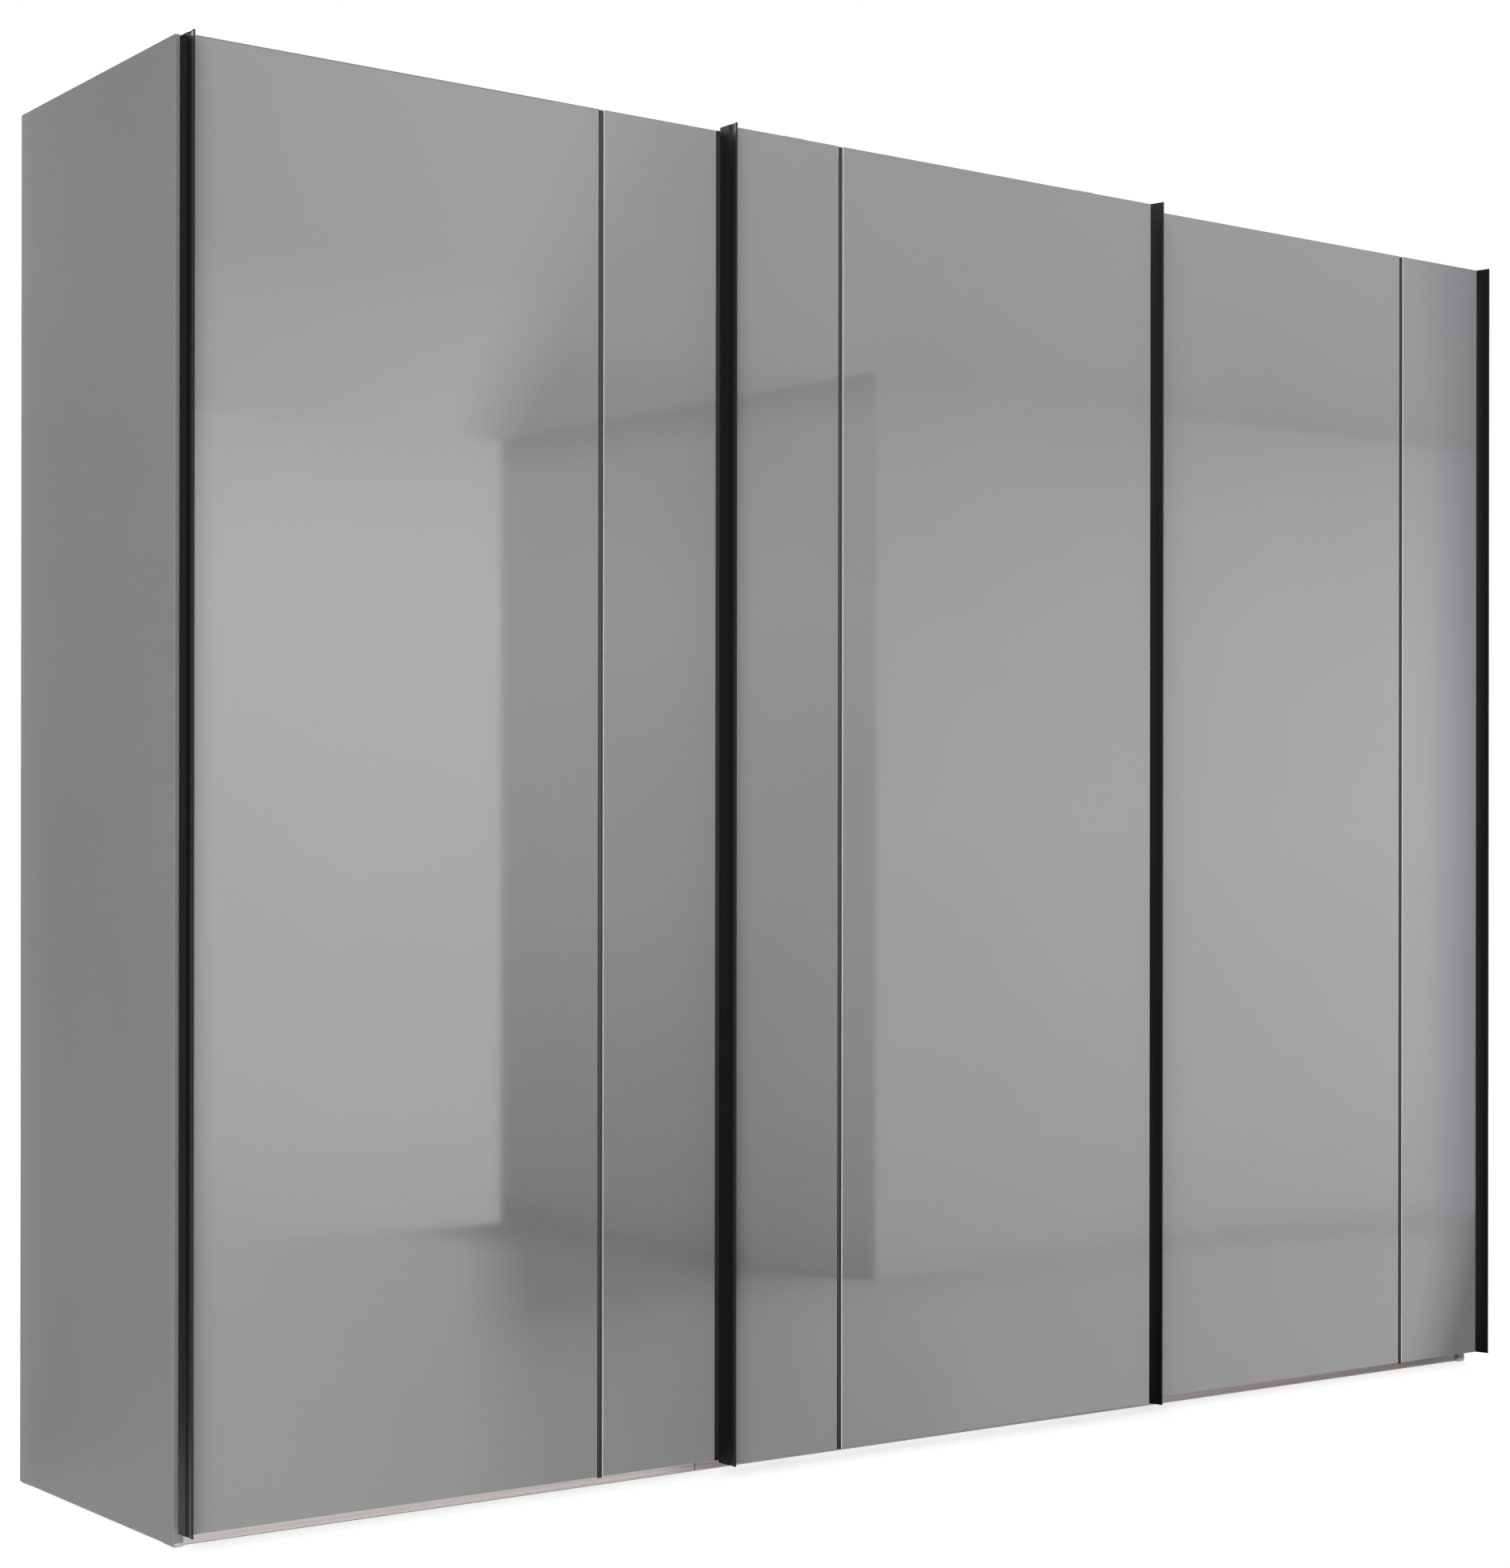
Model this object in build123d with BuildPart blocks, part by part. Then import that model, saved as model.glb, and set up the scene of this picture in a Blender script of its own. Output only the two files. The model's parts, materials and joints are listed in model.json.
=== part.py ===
"""Three-door sliding wardrobe with glass-faced floating doors, in millimetres.

X runs to the right along the front, Y from the front to the back and Z up.
The origin is on the floor, under the middle of the whole wardrobe.
"""

import os

from build123d import *

os.makedirs("parts", exist_ok=True)

# Carcass
overall_width = 2780.0
overall_height = 2170.0
carcass_depth = 565.0
board = 16.0
edge_round = 0.8
front_setback = 4.0
side_floor_gap = 2.0
track_room = 50.0

# Back panels, held in grooves of the uprights
back_thickness = 3.0
back_inset = 8.0
groove_depth = 6.0
groove_clearance = 0.1

# Base
plinth_height = 68.0
plinth_thickness = 16.0
plinth_setback = 20.0

# Levelling feet in the side panels and glides under the partitions
foot_length = 36.0
foot_height = 6.0
foot_skin = 1.5
foot_clearance = 0.3
foot_end_inset = 0.5
foot_travel = 12.0
stud_radius = 4.0
stud_engagement = 33.0
stud_clearance = 0.05
glide_width = 14.0
glide_height = 5.0
glide_end_inset = 30.0

# Hat shelves and their pins
hat_space = 258.0
shelf_setback = 40.0
shelf_side_gap = 0.5
shelf_back_gap = 4.0
pin_radius = 2.5
pin_clearance = 0.05
pin_hole_depth = 7.0
pin_end_inset = 50.0
pin_hole_pitch = 32.0
spare_pin_holes = 2
paddle_length = 9.0
paddle_width = 12.0
paddle_thickness = 3.0

# Clothes rails and their end brackets
rail_drop = 62.0
rail_height = 30.0
rail_width = 15.0
rail_wall = 1.2
bracket_plate = 3.0
bracket_wall = 2.0
bracket_depth = 12.0
bracket_clearance = 0.2

# Doors
door_overlap = 17.0
door_floor_gap = 23.5
door_top_gap = 7.0
core_thickness = 16.0
glass_thickness = 4.0
glass_bevel = 0.6
glass_seam = 0.3
running_gap = 16.0
passing_gap = 17.0
door_travel = 890.0
narrow_width = 216.0

# Divider strip between the two panes of a door
divider_width = 9.0
divider_groove = 0.8
divider_side_height = 3.4
divider_crown = 0.9
divider_top_gap = 2.0
divider_hang = 1.5

# Long edge profiles and grip handles of the doors
profile_web = 2.0
edge_width = 12.0
tongue_length = 6.0
tongue_thickness = 2.4
tongue_clearance = 0.1
grip_base = 9.0
grip_reach = 25.0
grip_tip = 3.2
grip_flat = 4.0
grip_scoop = 1.6
grip_waist = 4.9

# Upper track on the top panels
track_plate = 2.0
track_front = 5.0
track_width = 57.0
track_end_gap = 0.5
track_upstand = 14.0
rib_width = 5.0
rib_height = 6.0
outer_rib = 16.0
middle_rib = 46.0

# Trolleys and their wheels
wheel_rolling_radius = 12.0
wheel_rim = 2.0
wheel_width = 10.0
wheel_gap = 0.3
axle_radius = 4.0
axle_clearance = 0.05
axle_head_radius = 6.5
axle_head = 1.5
trolley_plate = 2.5
trolley_inset = 150.0
flange_width = 80.0
flange_drop = 55.0
arm_width = 40.0
outer_arm_drop = 11.5
carrier_below_axle = 8.0
wheel_side_gap = 0.3

# Stops in the upper track
stop_length = 18.0
stop_width = 10.0
stop_height = 22.0
stop_gap = 0.5
stop_clearance = 0.1

# Lower guide rail in two lengths, and the guides on the doors
guide_rail_depth = 13.0
guide_rail_floor_gap = 0.5
guide_rail_height = 60.0
guide_rail_round = 1.0
guide_seam_offset = 5.0
guide_seam_gap = 1.6
guide_lip = 1.8
guide_back_wall = 2.0
guide_mouth = 4.0
guide_cavity = 9.0
outer_slot_height = 52.0
guide_under_door = 3.75
guide_plate = 2.5
guide_head_length = 36.0
guide_head_clearance = 0.5
guide_flange_height = 50.0

# Places that follow from the sizes above
half_width = overall_width / 2
inner_half = half_width - board
door_thickness = core_thickness + glass_thickness
front_reach = running_gap + door_thickness + passing_gap + door_thickness + grip_reach
carcass_front = front_reach - (carcass_depth + front_reach) / 2
carcass_back = carcass_front + carcass_depth
panel_front = carcass_front + front_setback
groove_back = carcass_back - back_inset
groove_front = groove_back - back_thickness - 2 * groove_clearance
sheet_front = groove_front + groove_clearance
panel_back = groove_front

bottom_low = side_floor_gap + plinth_height
top_high = overall_height - track_room
top_low = top_high - board
shelf_height = top_low - hat_space - board
plinth_front = carcass_front + plinth_setback
plinth_back = plinth_front + plinth_thickness
rail_z = shelf_height - rail_drop
rail_y = (panel_front + panel_back) / 2

compartment = (overall_width - 4 * board) / 3
compartments = {}
for number, side in enumerate(("left", "middle", "right")):
    low_x = -inner_half + number * (compartment + board)
    compartments[side] = (low_x, low_x + compartment)

door_width = (overall_width + 2 * door_overlap) / 3
door_bottom = door_floor_gap
door_top = overall_height - door_top_gap
door_height = door_top - door_bottom
outer_back = carcass_front - running_gap
middle_back = outer_back - door_thickness - passing_gap
door_step = door_width - door_overlap
left_door_x = -half_width
middle_door_x = left_door_x + door_step
right_door_x = middle_door_x + door_step

rib_top = top_high + track_plate + rib_height
axle_z = rib_top + wheel_gap + wheel_rolling_radius
wheel_radius = wheel_rolling_radius + wheel_rim
outer_wheel_y = carcass_front + outer_rib
middle_wheel_y = carcass_front + middle_rib
outer_arm_top = overall_height - outer_arm_drop
middle_arm_top = overall_height

guide_rail_back = plinth_front
guide_rail_front = guide_rail_back - guide_rail_depth
guide_rail_low = guide_rail_floor_gap
guide_rail_high = guide_rail_low + guide_rail_height
guide_seam_x = compartments["left"][1] - guide_seam_offset
middle_slot_height = door_bottom - guide_under_door
cavity_front = guide_rail_front + guide_lip
cavity_back = guide_rail_back - guide_back_wall

stud_length = foot_travel + stud_engagement
foot_front_y = carcass_front + foot_end_inset
foot_back_y = carcass_back - foot_end_inset - foot_length
shelf_front = carcass_front + shelf_setback
shelf_back = sheet_front - shelf_back_gap
pin_rows = (shelf_front + pin_end_inset, shelf_back - pin_end_inset)
pin_z = shelf_height - pin_radius


def save(piece, name):
    """Names a finished piece and writes it to its own file."""
    piece.part.label = name
    export_step(piece.part, f"parts/{name}.step")


def block(x_span, y_span, z_span, mode=Mode.ADD):
    """Adds or cuts a rectangular block between two X, two Y and two Z values."""
    spans = (x_span, y_span, z_span)
    middle = Vector(*[sum(span) / 2 for span in spans])
    with Locations(middle):
        Box(*[abs(span[1] - span[0]) for span in spans], mode=mode)


def bar_along_x(radius, x_span, y, z, mode=Mode.ADD):
    """Adds or cuts a round bar that lies along X."""
    with Locations((sum(x_span) / 2, y, z)):
        Cylinder(radius, abs(x_span[1] - x_span[0]), rotation=(0, 90, 0), mode=mode)


def bar_along_y(radius, x, y_span, z, mode=Mode.ADD):
    """Adds or cuts a round bar that lies along Y."""
    with Locations((x, sum(y_span) / 2, z)):
        Cylinder(radius, abs(y_span[1] - y_span[0]), rotation=(90, 0, 0), mode=mode)


def round_front_edges(piece):
    """Rounds the front long edges of an upright, as its edge band is."""
    front = piece.edges().filter_by(Axis.Z).group_by(Axis.Y)[0]
    fillet(front, edge_round)


def cut_face_details(face_x, into):
    """Cuts the groove for the back panel and two rows of shelf pin holes into one face of an upright."""
    block(
        (face_x, face_x + into * groove_depth),
        (groove_front, groove_back),
        (bottom_low, top_high),
        mode=Mode.SUBTRACT,
    )
    for pin_y in pin_rows:
        for step in range(-spare_pin_holes, spare_pin_holes + 1):
            bar_along_x(
                pin_radius,
                (face_x, face_x + into * pin_hole_depth),
                pin_y,
                pin_z + step * pin_hole_pitch,
                mode=Mode.SUBTRACT,
            )


def make_side_panel(name, outer_x, inward):
    """A side panel with the pockets and bores of its two levelling feet."""
    inner_x = outer_x + inward * board
    stud_x = outer_x + inward * (foot_skin + board) / 2
    with BuildPart() as panel:
        block((outer_x, inner_x), (carcass_front, carcass_back), (side_floor_gap, overall_height))
        round_front_edges(panel)
        cut_face_details(inner_x, -inward)
        for foot_y, open_y in ((foot_front_y, carcass_front), (foot_back_y, carcass_back)):
            ends = (foot_y - foot_clearance, foot_y + foot_length + foot_clearance, open_y)
            block(
                (outer_x + inward * foot_skin, inner_x),
                (min(ends), max(ends)),
                (side_floor_gap, foot_height),
                mode=Mode.SUBTRACT,
            )
            with Locations((stud_x, foot_y + foot_length / 2, foot_height)):
                Cylinder(
                    stud_radius + stud_clearance,
                    stud_length + foot_clearance,
                    align=(Align.CENTER, Align.CENTER, Align.MIN),
                    mode=Mode.SUBTRACT,
                )
    save(panel, name)


def make_foot(name, outer_x, inward, foot_y):
    """A levelling foot: a pad on a threaded stud, shown fully screwed in."""
    pad_low = outer_x + inward * (foot_skin + foot_clearance)
    pad_high = outer_x + inward * (board - foot_end_inset)
    stud_x = outer_x + inward * (foot_skin + board) / 2
    with BuildPart() as foot:
        block((pad_low, pad_high), (foot_y, foot_y + foot_length), (0, foot_height))
        with Locations((stud_x, foot_y + foot_length / 2, foot_height)):
            Cylinder(stud_radius, stud_length, align=(Align.CENTER, Align.CENTER, Align.MIN))
    save(foot, name)


def make_partition(name, low_x):
    """A partition, notched at its foot for the plinth and the lower guide rail."""
    with BuildPart() as panel:
        block((low_x, low_x + board), (panel_front, carcass_back), (glide_height, top_high))
        round_front_edges(panel)
        block(
            (low_x, low_x + board),
            (panel_front, plinth_back),
            (glide_height, bottom_low),
            mode=Mode.SUBTRACT,
        )
        cut_face_details(low_x, 1)
        cut_face_details(low_x + board, -1)
    save(panel, name)


def make_lying_board(name, x_span, y_span, low_z):
    """A top, bottom or shelf board."""
    with BuildPart() as panel:
        block(x_span, y_span, (low_z, low_z + board))
        front = panel.edges().filter_by(Axis.X).group_by(Axis.Y)[0]
        fillet(front, edge_round)
    save(panel, name)


def make_back_panel(name, x_span):
    """A thin back panel that sits in the grooves of two uprights."""
    reach = groove_depth - groove_clearance
    with BuildPart() as sheet:
        block(
            (x_span[0] - reach, x_span[1] + reach),
            (sheet_front, sheet_front + back_thickness),
            (bottom_low, top_high),
        )
    save(sheet, name)


def make_clothes_rails():
    """The three oval clothes rails, one in each compartment."""
    with BuildPart() as rails:
        for low_x, high_x in compartments.values():
            with BuildSketch(Plane.YZ.offset(low_x + bracket_plate)):
                with Locations((rail_y, rail_z)):
                    SlotOverall(rail_height, rail_width, rotation=90)
                    SlotOverall(
                        rail_height - 2 * rail_wall,
                        rail_width - 2 * rail_wall,
                        rotation=90,
                        mode=Mode.SUBTRACT,
                    )
            extrude(amount=high_x - low_x - 2 * bracket_plate)
    save(rails, "clothes_rails")


def make_rail_brackets():
    """The cups on the uprights that the clothes rails' ends sit in."""
    inner_height = rail_height + 2 * bracket_clearance
    inner_width = rail_width + 2 * bracket_clearance
    with BuildPart() as brackets:
        for low_x, high_x in compartments.values():
            for face_x, into in ((low_x, 1), (high_x, -1)):
                with BuildSketch(Plane.YZ.offset(face_x)):
                    with Locations((rail_y, rail_z)):
                        SlotOverall(
                            inner_height + 2 * bracket_wall,
                            inner_width + 2 * bracket_wall,
                            rotation=90,
                        )
                extrude(amount=into * bracket_depth)
                with BuildSketch(Plane.YZ.offset(face_x + into * bracket_plate)):
                    with Locations((rail_y, rail_z)):
                        SlotOverall(inner_height, inner_width, rotation=90)
                extrude(amount=into * (bracket_depth - bracket_plate), mode=Mode.SUBTRACT)
    save(brackets, "clothes_rail_brackets")


def make_shelf_pins():
    """The pins in the uprights, each with a flat paddle that a shelf lies on."""
    with BuildPart() as pins:
        for low_x, high_x in compartments.values():
            for face_x, into in ((low_x, 1), (high_x, -1)):
                for pin_y in pin_rows:
                    bar_along_x(
                        pin_radius - pin_clearance,
                        (face_x - into * (pin_hole_depth - pin_clearance), face_x + into * paddle_length),
                        pin_y,
                        pin_z,
                    )
                    block(
                        (face_x, face_x + into * paddle_length),
                        (pin_y - paddle_width / 2, pin_y + paddle_width / 2),
                        (shelf_height - paddle_thickness, shelf_height),
                    )
    save(pins, "shelf_pins")


def make_partition_glides(partition_lows):
    """The fixed glides nailed under the partitions."""
    with BuildPart() as glides:
        for low_x in partition_lows:
            middle_x = low_x + board / 2
            front_y = plinth_back + glide_end_inset
            back_y = carcass_back - glide_end_inset - foot_length
            for start_y in (front_y, back_y):
                block(
                    (middle_x - glide_width / 2, middle_x + glide_width / 2),
                    (start_y, start_y + foot_length),
                    (0, glide_height),
                )
    save(glides, "partition_glides")


def make_upper_track():
    """The double track: a plate with two round-topped ribs and an upstand at its back."""
    track_y = carcass_front + track_front
    plate_high = top_high + track_plate
    half_length = inner_half - track_end_gap
    rib_round = rib_width / 2
    with BuildPart() as track:
        with BuildSketch(Plane.YZ.offset(-half_length)):
            with Locations((track_y + track_width / 2, top_high + track_plate / 2)):
                Rectangle(track_width, track_plate)
            with Locations((track_y + track_width - track_plate / 2, top_high + track_upstand / 2)):
                Rectangle(track_plate, track_upstand)
            for rib_y in (outer_wheel_y, middle_wheel_y):
                straight = rib_height - rib_round
                with Locations((rib_y, plate_high + straight / 2)):
                    Rectangle(rib_width, straight)
                with Locations((rib_y, plate_high + straight)):
                    Circle(rib_round)
        extrude(amount=2 * half_length)
    save(track, "upper_track")


def make_track_stops():
    """The blocks astride the ribs that the wheels run up against."""
    left_wheel = trolley_inset - wheel_radius - stop_gap - stop_length / 2
    places = (
        (left_door_x + left_wheel, outer_wheel_y),
        (right_door_x + door_width - left_wheel, outer_wheel_y),
        (middle_door_x - door_travel + left_wheel, middle_wheel_y),
        (middle_door_x + door_travel + door_width - left_wheel, middle_wheel_y),
    )
    plate_high = top_high + track_plate
    slot = rib_width / 2 + stop_clearance
    with BuildPart() as stops:
        for stop_x, stop_y in places:
            x_span = (stop_x - stop_length / 2, stop_x + stop_length / 2)
            y_span = (stop_y - stop_width / 2, stop_y + stop_width / 2)
            block(x_span, y_span, (plate_high, plate_high + stop_height))
            block(
                x_span,
                (stop_y - slot, stop_y + slot),
                (plate_high, rib_top + stop_clearance),
                mode=Mode.SUBTRACT,
            )
    save(stops, "track_end_stops")


def make_guide_rail(name, x_span):
    """One length of the lower guide rail, with a slot for the outer doors and one for the middle door."""
    with BuildPart() as rail:
        with BuildSketch(Plane.YZ.offset(x_span[0])):
            middle = ((guide_rail_front + guide_rail_back) / 2, (guide_rail_low + guide_rail_high) / 2)
            with Locations(middle):
                outline = Rectangle(guide_rail_depth, guide_rail_height)
            front_corners = outline.vertices().group_by(Axis.X)[0]
            fillet(front_corners, guide_rail_round)
            for slot_z in (outer_slot_height, middle_slot_height):
                with Locations(((guide_rail_front + cavity_back) / 2, slot_z)):
                    Rectangle(cavity_back - guide_rail_front, guide_mouth, mode=Mode.SUBTRACT)
                with Locations(((cavity_front + cavity_back) / 2, slot_z)):
                    Rectangle(cavity_back - cavity_front, guide_cavity, mode=Mode.SUBTRACT)
        extrude(amount=x_span[1] - x_span[0])
    save(rail, name)


def make_core(name, x0, back_y):
    """The backing board of a door, grooved along both edges for the profiles' tongues."""
    x_span = (x0 + profile_web, x0 + door_width - profile_web)
    middle_y = back_y - core_thickness / 2
    half_groove = tongue_thickness / 2 + tongue_clearance
    with BuildPart() as core:
        block(x_span, (back_y - core_thickness, back_y), (door_bottom, door_top))
        for edge_x, into in ((x_span[0], 1), (x_span[1], -1)):
            block(
                (edge_x, edge_x + into * (tongue_length + tongue_clearance)),
                (middle_y - half_groove, middle_y + half_groove),
                (door_bottom, door_top),
                mode=Mode.SUBTRACT,
            )
    save(core, name)


def make_pane(name, x_span, back_y):
    """A back-painted glass pane with bevelled front edges."""
    glass_back = back_y - core_thickness
    with BuildPart() as pane:
        block(
            (x_span[0] + glass_seam, x_span[1] - glass_seam),
            (glass_back - glass_thickness, glass_back),
            (door_bottom, door_top),
        )
        chamfer(pane.faces().sort_by(Axis.Y)[0].edges(), glass_bevel)
    save(pane, name)


def make_divider(name, low_x, back_y):
    """The slightly crowned strip between the two panes of a door."""
    seat_y = back_y - core_thickness
    left = low_x + divider_groove
    right = low_x + divider_width - divider_groove
    shoulder_y = seat_y - divider_side_height
    crown_y = shoulder_y - divider_crown
    with BuildPart() as strip:
        with BuildSketch(Plane.XY.offset(door_bottom - divider_hang)):
            with BuildLine():
                Polyline((left, shoulder_y), (left, seat_y), (right, seat_y), (right, shoulder_y))
                ThreePointArc((right, shoulder_y), ((left + right) / 2, crown_y), (left, shoulder_y))
            make_face()
        extrude(amount=divider_hang + door_height - divider_top_gap)
    save(strip, name)


def profile_root(place, face_width):
    """The corners that a handle and an edge profile share, from the back of the pane's place to the web."""
    low_tongue = (core_thickness - tongue_thickness) / 2
    high_tongue = low_tongue + tongue_thickness
    tongue_end = profile_web + tongue_length
    return [
        place(face_width, core_thickness),
        place(profile_web, core_thickness),
        place(profile_web, high_tongue),
        place(tongue_end, high_tongue),
        place(tongue_end, low_tongue),
        place(profile_web, low_tongue),
        place(profile_web, 0),
        place(0, 0),
    ]


def make_edge_profile(name, edge_x, inward, back_y):
    """The slim profile on a door edge that has no handle."""

    def place(across, forward):
        return (edge_x + inward * across, back_y - forward)

    with BuildPart() as profile:
        with BuildSketch(Plane.XY.offset(door_bottom)):
            with BuildLine():
                root = profile_root(place, edge_width)
                front = [place(0, door_thickness), place(edge_width, door_thickness)]
                Polyline(*root, *front, close=True)
            make_face()
        extrude(amount=door_height)
    save(profile, name)


def make_handle(name, edge_x, inward, back_y):
    """A grip handle: the edge profile carries on forwards as a curved fin with a round nose."""

    def place(across, forward):
        return (edge_x + inward * across, back_y - forward)

    flat_end = door_thickness + grip_flat
    nose_start = door_thickness + grip_reach - grip_tip / 2
    middle = (flat_end + nose_start) / 2
    with BuildPart() as handle:
        with BuildSketch(Plane.XY.offset(door_bottom)):
            with BuildLine():
                root = profile_root(place, grip_base)
                Polyline(place(grip_base, door_thickness), *root, place(0, flat_end))
                ThreePointArc(place(0, flat_end), place(grip_scoop, middle), place(0, nose_start))
                ThreePointArc(
                    place(0, nose_start),
                    place(grip_tip / 2, door_thickness + grip_reach),
                    place(grip_tip, nose_start),
                )
                ThreePointArc(
                    place(grip_tip, nose_start),
                    place(grip_waist, middle),
                    place(grip_base, door_thickness),
                )
            make_face()
        extrude(amount=door_height)
    save(handle, name)


def trolley_places(x0):
    """The X of a door's two trolleys."""
    return {"left": x0 + trolley_inset, "right": x0 + door_width - trolley_inset}


def make_trolleys(name, x0, back_y, wheel_y, arm_top):
    """The two brackets that hang a door from its wheels, each with its axle."""
    arm_low = arm_top - trolley_plate
    carrier_front = wheel_y + wheel_width / 2 + wheel_side_gap
    carrier_back = carrier_front + trolley_plate
    head_back = wheel_y - wheel_width / 2 - wheel_side_gap
    flange_low = door_top - flange_drop
    with BuildPart() as trolleys:
        for middle_x in trolley_places(x0).values():
            flange = (middle_x - flange_width / 2, middle_x + flange_width / 2)
            arm = (middle_x - arm_width / 2, middle_x + arm_width / 2)
            block(flange, (back_y, back_y + trolley_plate), (flange_low, arm_low))
            block(arm, (back_y, carrier_back), (arm_low, arm_top))
            block(arm, (carrier_front, carrier_back), (axle_z - carrier_below_axle, arm_low))
            bar_along_y(axle_radius, middle_x, (head_back, carrier_front), axle_z)
            bar_along_y(axle_head_radius, middle_x, (head_back - axle_head, head_back), axle_z)
    save(trolleys, name)


def make_wheel(name, middle_x, wheel_y):
    """A grooved wheel that rides astride a rib of the upper track."""
    groove_radius = rib_width / 2 + wheel_gap
    groove_centre = wheel_rolling_radius + groove_radius
    groove_edge = (groove_radius**2 - (groove_centre - wheel_radius) ** 2) ** 0.5
    half = wheel_width / 2
    bore = axle_radius + axle_clearance
    axis_plane = Plane(origin=(middle_x, wheel_y, axle_z), x_dir=(0, 0, 1), z_dir=(1, 0, 0))
    with BuildPart() as wheel:
        with BuildSketch(axis_plane):
            with BuildLine():
                Polyline(
                    (wheel_radius, -groove_edge),
                    (wheel_radius, -half),
                    (bore, -half),
                    (bore, half),
                    (wheel_radius, half),
                    (wheel_radius, groove_edge),
                )
                ThreePointArc(
                    (wheel_radius, groove_edge),
                    (wheel_rolling_radius, 0),
                    (wheel_radius, -groove_edge),
                )
            make_face()
        revolve(axis=Axis((middle_x, wheel_y, axle_z), (0, 1, 0)))
    save(wheel, name)


def make_lower_guides(name, x0, back_y, slot_z):
    """The two guides at a door's foot: a plate with an arm and a head that runs in the rail's slot."""
    arm_low = slot_z - guide_plate / 2
    arm_high = slot_z + guide_plate / 2
    head_front = cavity_front + guide_head_clearance
    head_back = cavity_back - guide_head_clearance
    head_half = guide_cavity / 2 - guide_head_clearance
    flange_high = door_bottom + guide_flange_height
    with BuildPart() as guides:
        for middle_x in trolley_places(x0).values():
            x_span = (middle_x - guide_head_length / 2, middle_x + guide_head_length / 2)
            block(x_span, (back_y, back_y + guide_plate), (arm_low, flange_high))
            block(x_span, (back_y, head_front), (arm_low, arm_high))
            block(x_span, (head_front, head_back), (slot_z - head_half, slot_z + head_half))
    save(guides, name)


def make_door(name, x0, back_y, wheel_y, arm_top, slot_z, handles, narrow_first):
    """All the pieces of one door. handles names the edges, left or right, that carry a grip handle."""
    x1 = x0 + door_width
    face = {}
    for side, edge_x, inward in (("left", x0, 1), ("right", x1, -1)):
        prefix = f"{name}_{side}" if len(handles) > 1 else name
        if side in handles:
            make_handle(f"{prefix}_handle", edge_x, inward, back_y)
            face[side] = edge_x + inward * grip_base
        else:
            make_edge_profile(f"{prefix}_edge_profile", edge_x, inward, back_y)
            face[side] = edge_x + inward * edge_width
    if narrow_first:
        divider_x = face["left"] + narrow_width
        panes = ("narrow", "wide")
    else:
        divider_x = face["right"] - narrow_width - divider_width
        panes = ("wide", "narrow")
    make_pane(f"{name}_{panes[0]}_glass", (face["left"], divider_x), back_y)
    make_pane(f"{name}_{panes[1]}_glass", (divider_x + divider_width, face["right"]), back_y)
    make_divider(f"{name}_divider", divider_x, back_y)
    make_core(f"{name}_core", x0, back_y)
    make_trolleys(f"{name}_trolleys", x0, back_y, wheel_y, arm_top)
    make_lower_guides(f"{name}_lower_guides", x0, back_y, slot_z)
    for side, middle_x in trolley_places(x0).items():
        make_wheel(f"{name}_{side}_wheel", middle_x, wheel_y)


# Carcass
partition_lows = [compartments["left"][1], compartments["middle"][1]]
for side, outer_x, inward in (("left", -half_width, 1), ("right", half_width, -1)):
    make_side_panel(f"side_panel_{side}", outer_x, inward)
    make_foot(f"foot_{side}_front", outer_x, inward, foot_front_y)
    make_foot(f"foot_{side}_back", outer_x, inward, foot_back_y)
for side, low_x in zip(("left", "right"), partition_lows):
    make_partition(f"partition_{side}", low_x)
for side, x_span in compartments.items():
    make_lying_board(f"top_panel_{side}", x_span, (panel_front, panel_back), top_low)
    make_lying_board(f"bottom_panel_{side}", x_span, (panel_front, panel_back), bottom_low)
    shelf_span = (x_span[0] + shelf_side_gap, x_span[1] - shelf_side_gap)
    make_lying_board(f"hat_shelf_{side}", shelf_span, (shelf_front, shelf_back), shelf_height)
    make_back_panel(f"back_panel_{side}", x_span)
with BuildPart() as plinth:
    block((-inner_half, inner_half), (plinth_front, plinth_back), (side_floor_gap, bottom_low))
save(plinth, "plinth")
make_clothes_rails()
make_rail_brackets()
make_shelf_pins()
make_partition_glides(partition_lows)

# Tracks
make_upper_track()
make_track_stops()
rail_end = inner_half - track_end_gap
make_guide_rail("lower_guide_rail_left", (-rail_end, guide_seam_x - guide_seam_gap / 2))
make_guide_rail("lower_guide_rail_right", (guide_seam_x + guide_seam_gap / 2, rail_end))

# Doors
outer_run = (outer_back, outer_wheel_y, outer_arm_top, outer_slot_height)
middle_run = (middle_back, middle_wheel_y, middle_arm_top, middle_slot_height)
make_door("left_door", left_door_x, *outer_run, handles=("left",), narrow_first=False)
make_door("middle_door", middle_door_x, *middle_run, handles=("left", "right"), narrow_first=True)
make_door("right_door", right_door_x, *outer_run, handles=("right",), narrow_first=False)
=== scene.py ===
"""Sliding door wardrobe: its finishes, small fastenings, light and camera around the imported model.

All lengths are metres in the model's own frame: X runs to the right along the front,
Y from the doors to the back and Z up from the floor.
"""

import json
import math

import bmesh
import bpy
from mathutils import Matrix, Vector


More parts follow.
